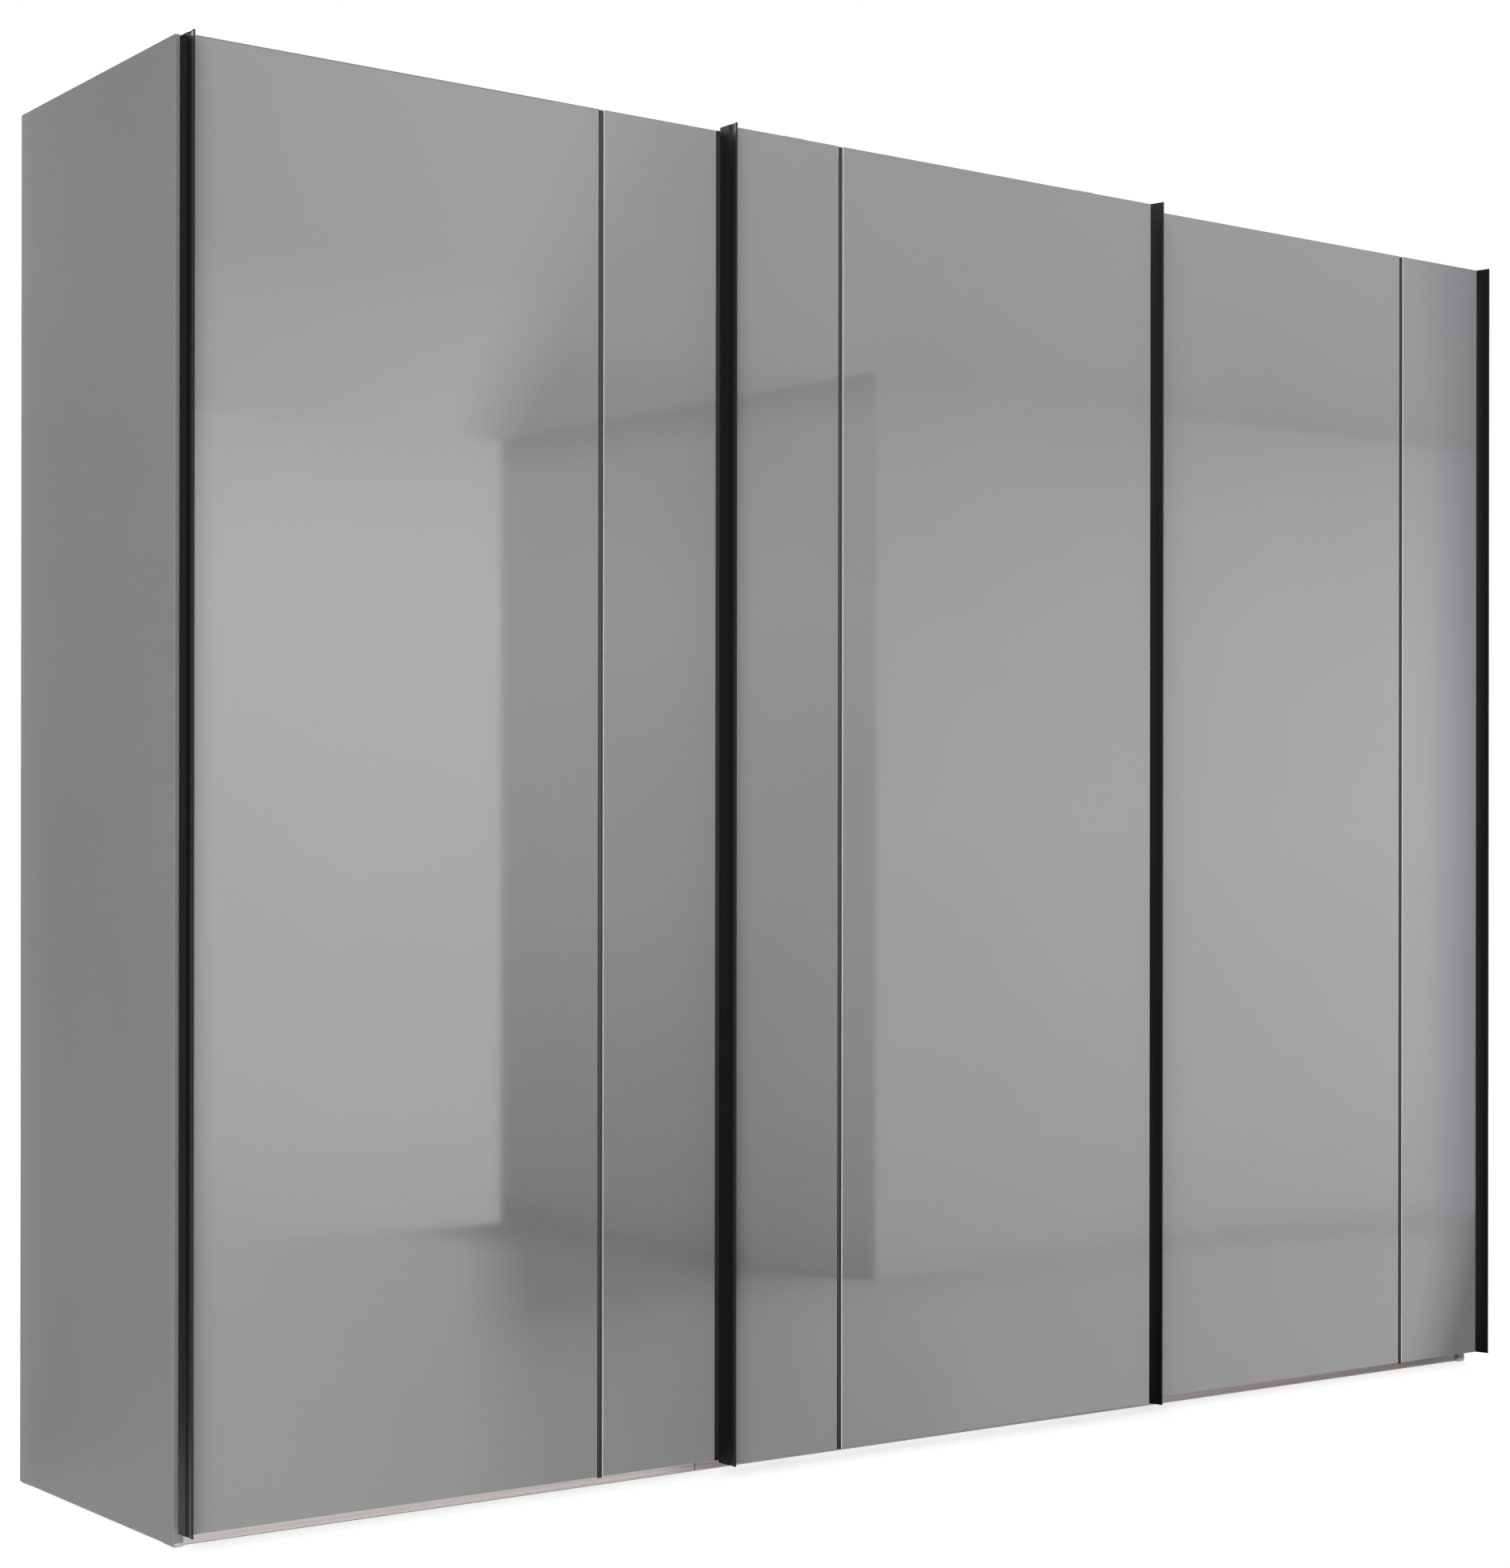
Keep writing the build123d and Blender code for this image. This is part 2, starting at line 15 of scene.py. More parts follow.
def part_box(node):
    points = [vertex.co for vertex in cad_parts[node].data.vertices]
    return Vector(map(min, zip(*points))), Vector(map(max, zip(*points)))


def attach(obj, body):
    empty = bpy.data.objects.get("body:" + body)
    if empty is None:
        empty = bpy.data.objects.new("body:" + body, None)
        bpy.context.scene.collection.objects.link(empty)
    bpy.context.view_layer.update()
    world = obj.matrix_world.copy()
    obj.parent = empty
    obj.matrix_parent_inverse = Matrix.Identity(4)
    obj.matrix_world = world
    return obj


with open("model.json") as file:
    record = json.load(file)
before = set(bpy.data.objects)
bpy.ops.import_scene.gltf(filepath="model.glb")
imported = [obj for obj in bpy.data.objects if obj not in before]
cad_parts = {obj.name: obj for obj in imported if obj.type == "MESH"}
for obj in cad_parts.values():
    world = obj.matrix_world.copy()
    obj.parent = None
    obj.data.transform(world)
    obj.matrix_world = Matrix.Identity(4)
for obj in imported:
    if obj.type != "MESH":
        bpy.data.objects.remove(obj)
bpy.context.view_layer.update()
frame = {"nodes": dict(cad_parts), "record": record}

# Camera, solved from the straight edges of the photograph, which is 1887 by 1960 pixels
PHOTO_HEIGHT = 1960.0
FOCAL_PIXELS = 3678.62
HORIZON_PIXEL = 1092.653
CAMERA_PLACE = (-3.205929, -4.129255, 0.96685)
CAMERA_TURN = 36.156
CAMERA_ROLL = 0.07
SENSOR = 36.0
VIEW_DISTANCE = 200.0

# Light levels
ROOM_LIGHT = 0.35
KEY_TOWARDS = (-0.665, -0.665, 0.34)
KEY_STRENGTH = 2.9
KEY_SPREAD = 40.0
FLOOR_GLOW = 0.73
FLOOR_SPREAD = 60.0

MM_PER_METRE = 1000.0

# Noise mostly keeps between these values, so colours and roughness run from the one to the other
NOISE_LOW = 0.3
NOISE_HIGH = 0.7

# Fastenings: places on the boards and brackets
CORE_INSET = 0.002
PLATE_THICKNESS = 0.0025
TROLLEY_INSET = 0.150
FLANGE_SCREW_SPREAD = 0.028
FLANGE_SCREW_RISES = (0.016, 0.036)
GUIDE_SCREW_SPREAD = 0.010
GUIDE_SCREW_DROP = 0.010
TRACK_SCREWS = 10
TRACK_SCREW_INSET = 0.026
TRACK_WALL = 0.002
CAM_SIDE_INSET = 0.034
CAM_FRONT_INSET = 0.110
CAM_BACK_INSET = 0.070
NAILS_PER_EDGE = 8

# Fastenings: sizes of their heads
SCREW_RADIUS = 0.004
SCREW_HEIGHT = 0.0022
TRACK_SCREW_HEIGHT = 0.00132
CAM_RADIUS = 0.0075
CAM_HEIGHT = 0.0007
NAIL_RADIUS = 0.003
NAIL_HEIGHT = 0.0011
RING_POINTS = 32
TINY = 1e-6

# Rings of one head from its foot inwards, as shares of its radius and of its height
SCREW_FACE = ((1.0, 0.0), (1.0, 0.3), (0.92, 0.68), (0.78, 0.94), (0.68, 1.0))
CAM_FACE = ((1.0, 0.0), (1.0, 0.6), (0.94, 1.0))
NAIL_FACE = ((1.0, 0.0), (1.0, 0.35), (0.85, 0.72), (0.55, 0.93), (0.2, 1.0))

# Rings of a cross recess: its length and half its width as shares of the radius, then a share of the height
SCREW_CROSS = ((0.62, 0.16, 1.0), (0.5, 0.12, 0.25))
CAM_CROSS = ((0.6, 0.14, 1.0), (0.55, 0.12, 0.2))

BACKWARDS = (0, 1, 0)
UPWARDS = (0, 0, 1)

# The room that the glass doors mirror, made of glowing cards with painted light and shade
ROOM_HEIGHT = 2.162
FAR_WALL_Y = -3.38
NEAR_WALL_Y = -1.96
CORNER_X = 1.02
STEP_X = 1.15
ROOM_LEFT = -9.0
ROOM_RIGHT = 9.0
CEILING_FRONT = -0.268
BACK_WALL_Y = 0.36
BACK_WALL_TOP = 2.9
WARDROBE_SIDE_X = 1.42
FLOOR_FRONT = -0.34
FLOOR_CARD_Z = 0.002
CARD_STEP = 0.001
WALL_FOOT_Z = FLOOR_CARD_Z + 2 * CARD_STEP
WALL_FOOT_NEAR = (0.72, -2.35)
WALL_FOOT_FAR = (0.62, -3.34)
RAIL_FRONT = -0.228
OPENING_Y = -0.241
OPENING_SIDE_X = 1.374
OPENING_FOOT = 0.12

# Where the lit part of that room ends: the x at its far wall and the x at the doors
CEILING_LINE = (0.97, -0.65)
FLOOR_LINE = (1.02, -0.79)
EDGE_OVERLAP = 0.13

# Directions in plan across the lines at which the light of that room changes
CEILING_AWAY = Vector((0.887, 0.462, 0.0))
FLOOR_AWAY = Vector((0.858, 0.513, 0.0))
DARK_CORNER_AWAY = Vector((-0.287, -0.958, 0.0))
DUSK_AWAY = Vector((0.646, 0.764, 0.0))
DIM_FLOOR_AWAY = Vector((0.623, 0.783, 0.0))
WALL_FOOT_AWAY = Vector((0.33, -0.944, 0.0))

# Ways from one place to another, along which the painted light and shade of that room changes or thins out
UP_THE_WALLS = (Vector((0.0, 0.0, 0.0)), Vector((0.0, 0.0, ROOM_HEIGHT)))
DOORS_TO_FAR_WALL = (Vector((0.0, CEILING_FRONT, 0.0)), Vector((0.0, FAR_WALL_Y, 0.0)))
FAR_TO_NEAR_WALL = (Vector((0.0, FAR_WALL_Y, 0.0)), Vector((0.0, NEAR_WALL_Y, 0.0)))
DOWN_DARK_WALL = (Vector((0.0, -3.0, 0.9)), Vector((0.0, -2.0, 0.0)))
DARK_WALL_FOOT = (Vector((0.0, -2.8, 0.0)), Vector((0.0, -2.76, 0.4)))
DARK_WALL_FOOT_FADE = (Vector((CORNER_X, FAR_WALL_Y, 0.0)), Vector((0.622, -3.344, 0.0)))
ALONG_NEAR_WALL = (Vector((STEP_X, 0.0, 0.0)), Vector((2.6, 0.0, 0.0)))
ALONG_DOORS = (Vector((-1.4, 0.0, 0.0)), Vector((1.4, 0.0, 0.0)))
INTO_HAZE = (Vector((-3.0, 0.0, 0.0)), Vector((-1.4, 0.0, 0.0)))
INTO_DUSK = (DUSK_AWAY * 0.51, DUSK_AWAY * 0.72)
INTO_DIM_FLOOR = (DIM_FLOOR_AWAY * 0.498, DIM_FLOOR_AWAY * 0.598)
INTO_DARK_CORNER = (DARK_CORNER_AWAY * 1.05, DARK_CORNER_AWAY * 2.2)
TO_WALL_FOOT = (WALL_FOOT_AWAY * 2.41, WALL_FOOT_AWAY * 2.69)
LIT_CEILING = (CEILING_AWAY * -1.48, CEILING_AWAY * -0.88)
LIT_CEILING_FADE = (CEILING_AWAY * -0.8, CEILING_AWAY * -0.6)
SHADED_CEILING = (CEILING_AWAY * 0.7, CEILING_AWAY * 1.6)
LIT_FLOOR = (FLOOR_AWAY * -1.65, FLOOR_AWAY * -0.95)
LIT_FLOOR_FADE = (FLOOR_AWAY * -0.96, FLOOR_AWAY * -0.795)
SHADED_FLOOR = (FLOOR_AWAY * -0.8, FLOOR_AWAY * 1.2)


def srgb(hex_code):
    """An sRGB hex colour as the linear red, green, blue and alpha that shaders work in."""
    channels = []
    for start in (1, 3, 5):
        value = int(hex_code[start : start + 2], 16) / 255
        linear = value / 12.92 if value <= 0.04045 else ((value + 0.055) / 1.055) ** 2.4
        channels.append(linear)
    return (*channels, 1.0)


def per_metre(size_mm):
    """How often a pattern of this size in millimetres fits into a metre."""
    return MM_PER_METRE / size_mm


def add_node(tree, kind, inputs=None, stops=(), **settings):
    """Adds a node with its settings, feeds its sockets with values or nodes, and colours a ramp's stops."""
    node = tree.nodes.new(kind)
    for name, value in settings.items():
        setattr(node, name, value)
    for socket, value in (inputs or {}).items():
        if isinstance(value, bpy.types.Node):
            value = value.outputs[0]
        if isinstance(value, bpy.types.NodeSocket):
            tree.links.new(value, node.inputs[socket])
        else:
            node.inputs[socket].default_value = value
    if stops:
        marks = node.color_ramp.elements
        while len(marks) < len(stops):
            marks.new(1.0)
        for mark, (position, hex_code) in zip(marks, stops):
            mark.position = position
            mark.color = srgb(hex_code)
    return node


def bare_nodes(owner):
    """The node tree of a material or of the world, emptied."""
    owner.use_nodes = True
    owner.node_tree.nodes.clear()
    return owner.node_tree


def start_material(name, **sockets):
    """A new material with its shader, and the coordinates that stay with the piece, in metres."""
    material = bpy.data.materials.new(name)
    tree = bare_nodes(material)
    place = add_node(tree, "ShaderNodeTexCoord")
    shader = add_node(tree, "ShaderNodeBsdfPrincipled", sockets)
    add_node(tree, "ShaderNodeOutputMaterial", {"Surface": shader})
    return material, tree, shader, place


def finish_material(
    tree, shader, colour, pattern, rough, depth_mm, strength, relief=None, spread=(NOISE_LOW, NOISE_HIGH)
):
    """Feeds a shader with its colour, its roughness and the relief of its surface.

    rough gives the roughness at both ends of the pattern's spread.
    The relief is the same pattern, unless it has one of its own.
    """
    low, high = spread
    height = pattern if relief is None else relief
    roughness = add_node(
        tree,
        "ShaderNodeMapRange",
        {"Value": pattern, "From Min": low, "From Max": high, "To Min": rough[0], "To Max": rough[1]},
    )
    bump = add_node(
        tree,
        "ShaderNodeBump",
        {"Height": height, "Distance": depth_mm / MM_PER_METRE, "Strength": strength},
    )
    tree.links.new(colour.outputs[0], shader.inputs["Base Color"])
    tree.links.new(roughness.outputs[0], shader.inputs["Roughness"])
    tree.links.new(bump.outputs[0], shader.inputs["Normal"])


def grey_melamine():
    """Melamine-faced chipboard, pressed matt: an even grey with a fine pearl and no clear mirror image.

    The real pearl is about 0.5 mm and is drawn at 3 mm so that it shows.
    """
    material, tree, shader, place = start_material("grey_melamine_pressed_matt", IOR=1.5)
    metres = place.outputs["Object"]
    pearl = add_node(tree, "ShaderNodeTexNoise", {"Vector": metres, "Scale": per_metre(3.0), "Detail": 4.0})
    cloud = add_node(tree, "ShaderNodeTexNoise", {"Vector": metres, "Scale": per_metre(500.0), "Detail": 2.0})
    both = add_node(tree, "ShaderNodeMath", {0: pearl, 1: cloud}, operation="ADD")
    mean = add_node(tree, "ShaderNodeMath", {0: both, 1: 1.0 / 2.0}, operation="MULTIPLY")
    shades = ((NOISE_LOW, "#727272"), (NOISE_HIGH, "#797979"))
    colour = add_node(tree, "ShaderNodeValToRGB", {"Fac": mean}, stops=shades)
    finish_material(tree, shader, colour, pearl, rough=(0.5, 0.62), depth_mm=0.05, strength=0.5)
    return material


def linen_melamine():
    """Melamine-faced chipboard printed with a linen weave: pale grey, crossed by lighter and darker threads.

    Threads of such a print are about 0.8 mm apart and are drawn at 3 mm so that they show.
    """
    material, tree, shader, place = start_material("linen_melamine_printed", IOR=1.5)
    metres = place.outputs["Object"]
    thread = per_metre(3.0)
    along = per_metre(90.0)
    weave = None
    for direction in ((along, thread, thread), (thread, along, thread), (thread, thread, along)):
        run = add_node(tree, "ShaderNodeMapping", {"Vector": metres, "Scale": direction})
        threads = add_node(tree, "ShaderNodeTexNoise", {"Vector": run, "Scale": 1.0, "Detail": 2.0})
        if weave is None:
            weave = threads
        else:
            weave = add_node(tree, "ShaderNodeMath", {0: weave, 1: threads}, operation="ADD")
    mean = add_node(tree, "ShaderNodeMath", {0: weave, 1: 1.0 / 3.0}, operation="MULTIPLY")
    # The mean of three noises keeps closer to the middle than one does
    low, middle, high = 0.38, 0.5, 0.62
    shades = ((low, "#a19d97"), (middle, "#b7b3ad"), (high, "#c6c3be"))
    colour = add_node(tree, "ShaderNodeValToRGB", {"Fac": mean}, stops=shades)
    finish_material(
        tree, shader, colour, mean, rough=(0.62, 0.5), depth_mm=0.08, strength=0.5, spread=(low, high)
    )
    return material


def printed_hardboard():
    """Hardboard, printed pale grey where it faces the clothes and left raw behind, brown and full of fibres.

    Fibres are about 0.3 mm thick and are drawn at 2 mm so that they show.
    """
    material, tree, shader, place = start_material("hardboard_printed_one_side", IOR=1.5)
    metres = place.outputs["Object"]
    fibre = add_node(
        tree,
        "ShaderNodeTexNoise",
        {"Vector": metres, "Scale": per_metre(2.0), "Detail": 6.0, "Roughness": 0.7},
    )
    patch = add_node(tree, "ShaderNodeTexNoise", {"Vector": metres, "Scale": per_metre(160.0), "Detail": 4.0})
    sway = 0.15
    drift = add_node(
        tree,
        "ShaderNodeMapRange",
        {"Value": patch, "From Min": 0.0, "From Max": 1.0, "To Min": -sway, "To Max": sway},
    )
    fleck = add_node(tree, "ShaderNodeMath", {0: fibre, 1: drift}, operation="ADD")
    browns = ((0.33, "#6a4f36"), (0.5, "#86674a"), (0.66, "#9c7d5e"))
    raw = add_node(tree, "ShaderNodeValToRGB", {"Fac": fleck}, stops=browns)
    greys = ((NOISE_LOW, "#aaa7a1"), (NOISE_HIGH, "#bbb8b3"))
    printed = add_node(tree, "ShaderNodeValToRGB", {"Fac": fibre}, stops=greys)
    facing = add_node(tree, "ShaderNodeSeparateXYZ", {"Vector": place.outputs["Normal"]})
    half_turned = -0.5
    front = add_node(tree, "ShaderNodeMath", {0: facing.outputs["Y"], 1: half_turned}, operation="LESS_THAN")
    colour = add_node(tree, "ShaderNodeMixRGB", {"Fac": front, "Color1": raw, "Color2": printed})
    finish_material(tree, shader, colour, fibre, rough=(0.6, 0.78), depth_mm=0.12, strength=0.6)
    return material


def lacquered_backing():
    """Medium density fibreboard, sprayed dark grey: even and dull, with the slight orange peel of paint."""
    material, tree, shader, place = start_material("fibreboard_lacquered_dark", IOR=1.5)
    metres = place.outputs["Object"]
    peel = add_node(tree, "ShaderNodeTexNoise", {"Vector": metres, "Scale": per_metre(4.0), "Detail": 3.0})
    shades = ((NOISE_LOW, "#353536"), (NOISE_HIGH, "#3d3d3e"))
    colour = add_node(tree, "ShaderNodeValToRGB", {"Fac": peel}, stops=shades)
    finish_material(tree, shader, colour, peel, rough=(0.45, 0.58), depth_mm=0.08, strength=0.5)
    return material


def back_painted_glass():
    """Float glass, lacquered grey on its back: a deep even tone behind a smooth front that mirrors softly.

    The edges and bevels are coloured paler and a little green: partly the frosted look that grinding gives
    glass, partly a painted highlight along the bevels.
    """
    material, tree, shader, place = start_material("float_glass_back_painted", IOR=1.52)
    metres = place.outputs["Object"]
    flow = add_node(tree, "ShaderNodeTexNoise", {"Vector": metres, "Scale": per_metre(350.0), "Detail": 2.0})
    shades = ((NOISE_LOW, "#747474"), (NOISE_HIGH, "#777777"))
    lacquer = add_node(tree, "ShaderNodeValToRGB", {"Fac": flow}, stops=shades)
    facing = add_node(tree, "ShaderNodeSeparateXYZ", {"Vector": place.outputs["Normal"]})
    flat, bevelled = -0.98, -0.75
    ground_and_highlit_edge = add_node(
        tree,
        "ShaderNodeMapRange",
        {"Value": facing.outputs["Y"], "From Min": flat, "From Max": bevelled, "To Min": 0.0, "To Max": 1.0},
    )
    # Painted highlight, partly real frost: the pale colour that the edges and bevels take
    edge = srgb("#bcc4c1")
    colour = add_node(tree, "ShaderNodeMixRGB", {"Fac": ground_and_highlit_edge, "Color1": lacquer, "Color2": edge})
    wipe = add_node(tree, "ShaderNodeTexNoise", {"Vector": metres, "Scale": per_metre(120.0), "Detail": 3.0})
    finish_material(
        tree, shader, colour, wipe, rough=(0.036, 0.044), depth_mm=0.002, strength=0.1, relief=flow
    )
    return material


def extruded_aluminium(name, low_shade, high_shade, along, line_mm, rough, depth_mm):
    """Aluminium pushed through a die and anodised: satin metal with fine lines along its length.

    Real die lines are a few hundredths of a millimetre wide and are drawn wider so that they show.
    """
    material, tree, shader, place = start_material(name, Metallic=1.0)
    run_mm = 600.0
    scale = [per_metre(run_mm if axis == along else line_mm) for axis in "XYZ"]
    run = add_node(tree, "ShaderNodeMapping", {"Vector": place.outputs["Object"], "Scale": scale})
    lines = add_node(tree, "ShaderNodeTexNoise", {"Vector": run, "Scale": 1.0, "Detail": 4.0})
    shades = ((NOISE_LOW, low_shade), (NOISE_HIGH, high_shade))
    colour = add_node(tree, "ShaderNodeValToRGB", {"Fac": lines}, stops=shades)
    finish_material(tree, shader, colour, lines, rough, depth_mm, strength=0.4)
    return material


def zinc_plated_steel():
    """Pressed steel, bright zinc plated: a cool satin grey that clouds over from blue to straw in patches."""
    material, tree, shader, place = start_material("steel_zinc_plated", Metallic=1.0)
    metres = place.outputs["Object"]
    cloud = add_node(tree, "ShaderNodeTexNoise", {"Vector": metres, "Scale": per_metre(14.0), "Detail": 4.0})
    fine = add_node(tree, "ShaderNodeTexNoise", {"Vector": metres, "Scale": per_metre(1.0), "Detail": 3.0})
    shades = ((0.3, "#a9b1bb"), (0.5, "#bcc0c2"), (0.72, "#c2bda9"))
    colour = add_node(tree, "ShaderNodeValToRGB", {"Fac": cloud}, stops=shades)
    finish_material(tree, shader, colour, fine, rough=(0.28, 0.42), depth_mm=0.02, strength=0.4)
    return material


def chromed_tube():
    """Steel tube, polished and chrome plated: a clear mirror that wiping marks dull here and there."""
    material, tree, shader, place = start_material("steel_tube_chromed", Metallic=1.0)
    along = per_metre(60.0)
    around = per_metre(6.0)
    run = add_node(
        tree,
        "ShaderNodeMapping",
        {"Vector": place.outputs["Object"], "Scale": (along, around, around)},
    )
    marks = add_node(tree, "ShaderNodeTexNoise", {"Vector": run, "Scale": 1.0, "Detail": 4.0})
    shades = ((NOISE_LOW, "#b6b8bc"), (NOISE_HIGH, "#c4c6c9"))
    colour = add_node(tree, "ShaderNodeValToRGB", {"Fac": marks}, stops=shades)
    finish_material(
        tree, shader, colour, marks, rough=(0.06, 0.16), depth_mm=0.004, strength=0.3, spread=(0.35, 0.75)
    )
    return material


def moulded(name, low_shade, high_shade, grain_mm, rough, ior):
    """Plastic or rubber, moulded in a spark-eroded tool: one colour all through, with an even pebbled grain.

    The grain is about 0.1 mm and is drawn larger so that it shows.
    """
    material, tree, shader, place = start_material(name, IOR=ior)
    metres = place.outputs["Object"]
    grain = add_node(
        tree,
        "ShaderNodeTexNoise",
        {"Vector": metres, "Scale": per_metre(grain_mm), "Detail": 3.0},
    )
    shades = ((NOISE_LOW, low_shade), (NOISE_HIGH, high_shade))
    colour = add_node(tree, "ShaderNodeValToRGB", {"Fac": grain}, stops=shades)
    finish_material(tree, shader, colour, grain, rough, depth_mm=0.04, strength=0.5)
    return material


finishes = {
    "carcass_board": grey_melamine(),
    "interior_board": linen_melamine(),
    "back_sheet": printed_hardboard(),
    "door_core": lacquered_backing(),
    "pane_glass": back_painted_glass(),
    "black_profile": extruded_aluminium(
        "aluminium_anodised_black",
        "#171716",
        "#1d1d1c",
        along="Z",
        line_mm=1.2,
        rough=(0.34, 0.44),
        depth_mm=0.02,
    ),
    "divider_strip": extruded_aluminium(
        "aluminium_anodised_dark",
        "#212120",
        "#282827",
        along="Z",
        line_mm=1.0,
        rough=(0.32, 0.42),
        depth_mm=0.02,
    ),
    "guide_rail": extruded_aluminium(
        "aluminium_brushed_warm_grey",
        "#8a8381",
        "#9f9694",
        along="X",
        line_mm=1.6,
        rough=(0.36, 0.5),
        depth_mm=0.03,
    ),
    "track_aluminium": extruded_aluminium(
        "aluminium_anodised_natural",
        "#9fa0a2",
        "#b2b3b5",
        along="X",
        line_mm=1.4,
        rough=(0.34, 0.46),
        depth_mm=0.03,
    ),
    "bracket_steel": zinc_plated_steel(),
    "rail_chrome": chromed_tube(),
    "bracket_plastic": moulded(
        "abs_moulded_grey", "#888887", "#929291", grain_mm=1.2, rough=(0.42, 0.54), ior=1.54
    ),
    "guide_plastic": moulded(
        "polyamide_moulded_black", "#1b1b1b", "#242424", grain_mm=1.0, rough=(0.4, 0.52), ior=1.53
    ),
    "wheel_plastic": moulded(
        "acetal_moulded_natural", "#dcd9cf", "#e6e3da", grain_mm=1.0, rough=(0.28, 0.38), ior=1.48
    ),
    "foot_plastic": moulded(
        "polypropylene_moulded_pale", "#adadac", "#b6b6b5", grain_mm=1.2, rough=(0.45, 0.56), ior=1.49
    ),
    "stop_rubber": moulded(
        "rubber_moulded_black", "#161616", "#1f1f1f", grain_mm=1.6, rough=(0.62, 0.78), ior=1.52
    ),
}

for part in frame["record"]["subparts"]:
    node = frame["nodes"][part["node"]]
    node.data.materials.clear()
    node.data.materials.append(finishes[part["material_slot"]])

# Mirrors don't see the grips or the door in front, so that the panes show only the room
for name, node in frame["nodes"].items():
    if name.startswith("middle_door") or name.endswith("handle"):
        node.visible_glossy = False


def add_object(name, data):
    """A new object in the scene, made of a mesh, a lamp or a camera."""
    thing = bpy.data.objects.new(name, data)
    bpy.context.scene.collection.objects.link(thing)
    return thing


def round_of(radius):
    """A plain circle, as the radius at each turn."""
    return lambda turn: radius


def cross_slot(length, half_width):
    """The outline of a cross recess, as the radius at each turn."""

    def reach(turn):
        run = max(abs(math.cos(turn)), TINY)
        rise = max(abs(math.sin(turn)), TINY)
        level = min(length / run, half_width / rise)
        upright = min(half_width / run, length / rise)
        return max(level, upright)

    return reach


def head_shape(radius, height, face, cross=()):
    """The rings of one head from its foot inwards: the round ones, then those of its cross recess."""
    rings = [(round_of(radius * share), height * lift) for share, lift in face]
    for length, half_width, lift in cross:
        rings.append((cross_slot(radius * length, radius * half_width), height * lift))
    return rings


def ring(centre, across, up, out, reach, height):
    """Points round an axis: reach gives the radius at each turn, height lifts the ring along the axis."""
    points = []
    for step in range(RING_POINTS):
        turn = 2 * math.pi * step / RING_POINTS
        radius = reach(turn)
        points.append(centre + across * radius * math.cos(turn) + up * radius * math.sin(turn) + out * height)
    return points


def add_heads(name, body, slot, places, out, shape):
    """One piece of many fastening heads that stand on a face. shape lists the rings of one head."""
    out = Vector(out)
    across = Vector((1, 0, 0))
    up = out.cross(across)
    heads = bmesh.new()
    for centre in places:
        last = None
        for reach, height in shape:
            points = [heads.verts.new(p) for p in ring(Vector(centre), across, up, out, reach, height)]
            if last is None:
                heads.faces.new(points)
            else:
                for step in range(RING_POINTS):
                    follow = (step + 1) % RING_POINTS
                    heads.faces.new((last[step], last[follow], points[follow], points[step]))
            last = points
        heads.faces.new(last)
    bmesh.ops.recalc_face_normals(heads, faces=heads.faces)
    mesh = bpy.data.meshes.new(name)
    heads.to_mesh(mesh)
    heads.free()
    piece = add_object(name, mesh)
    mesh.materials.append(finishes[slot])
    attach(piece, body)


def evenly(start, end, count):
    """Places in the middle of equal steps from one end to the other."""
    return [start + (step + 0.5) / count * (end - start) for step in range(count)]


for door in ("left_door", "middle_door", "right_door"):
    core_low, core_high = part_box(f"{door}_core")
    trolley_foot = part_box(f"{door}_trolleys")[0].z
    guide_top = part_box(f"{door}_lower_guides")[1].z
    plate_back = core_high.y + PLATE_THICKNESS
    left_edge = core_low.x - CORE_INSET
    right_edge = core_high.x + CORE_INSET
    hangers = []
    guides = []
    for middle in (left_edge + TROLLEY_INSET, right_edge - TROLLEY_INSET):
        for side in (-FLANGE_SCREW_SPREAD, FLANGE_SCREW_SPREAD):
            for rise in FLANGE_SCREW_RISES:
                hangers.append((middle + side, plate_back, trolley_foot + rise))
        for side in (-GUIDE_SCREW_SPREAD, GUIDE_SCREW_SPREAD):
            guides.append((middle + side, plate_back, guide_top - GUIDE_SCREW_DROP))
    shape = head_shape(SCREW_RADIUS, SCREW_HEIGHT, SCREW_FACE, SCREW_CROSS)
    add_heads(f"{door}_trolley_screws", door, "bracket_steel", hangers, BACKWARDS, shape)
    add_heads(f"{door}_guide_screws", door, "bracket_steel", guides, BACKWARDS, shape)

track_low, track_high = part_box("upper_track")
track_screws = []
for x in evenly(track_low.x, track_high.x, TRACK_SCREWS):
    track_screws.append((x, track_low.y + TRACK_SCREW_INSET, track_low.z + TRACK_WALL))
shape = head_shape(SCREW_RADIUS, TRACK_SCREW_HEIGHT, SCREW_FACE, SCREW_CROSS)
add_heads("track_screws", "carcass", "bracket_steel", track_screws, UPWARDS, shape)

cams = []
nails = []
for side in ("left", "middle", "right"):
    top_low, top_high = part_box(f"top_panel_{side}")
    sheet_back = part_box(f"back_panel_{side}")[1].y
    bottom_low, bottom_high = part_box(f"bottom_panel_{side}")
    half_depth = (top_low.y + top_high.y) / 2
    for x in (top_low.x + CAM_SIDE_INSET, top_high.x - CAM_SIDE_INSET):
        for y in (top_low.y + CAM_FRONT_INSET, half_depth, top_high.y - CAM_BACK_INSET):
            cams.append((x, y, top_high.z))
    for height in ((bottom_low.z + bottom_high.z) / 2, (top_low.z + top_high.z) / 2):
        for x in evenly(top_low.x, top_high.x, NAILS_PER_EDGE):
            nails.append((x, sheet_back, height))
shape = head_shape(CAM_RADIUS, CAM_HEIGHT, CAM_FACE, CAM_CROSS)
add_heads("top_panel_cams", "carcass", "bracket_steel", cams, UPWARDS, shape)
shape = head_shape(NAIL_RADIUS, NAIL_HEIGHT, NAIL_FACE)
add_heads("back_panel_nails", "carcass", "bracket_steel", nails, BACKWARDS, shape)


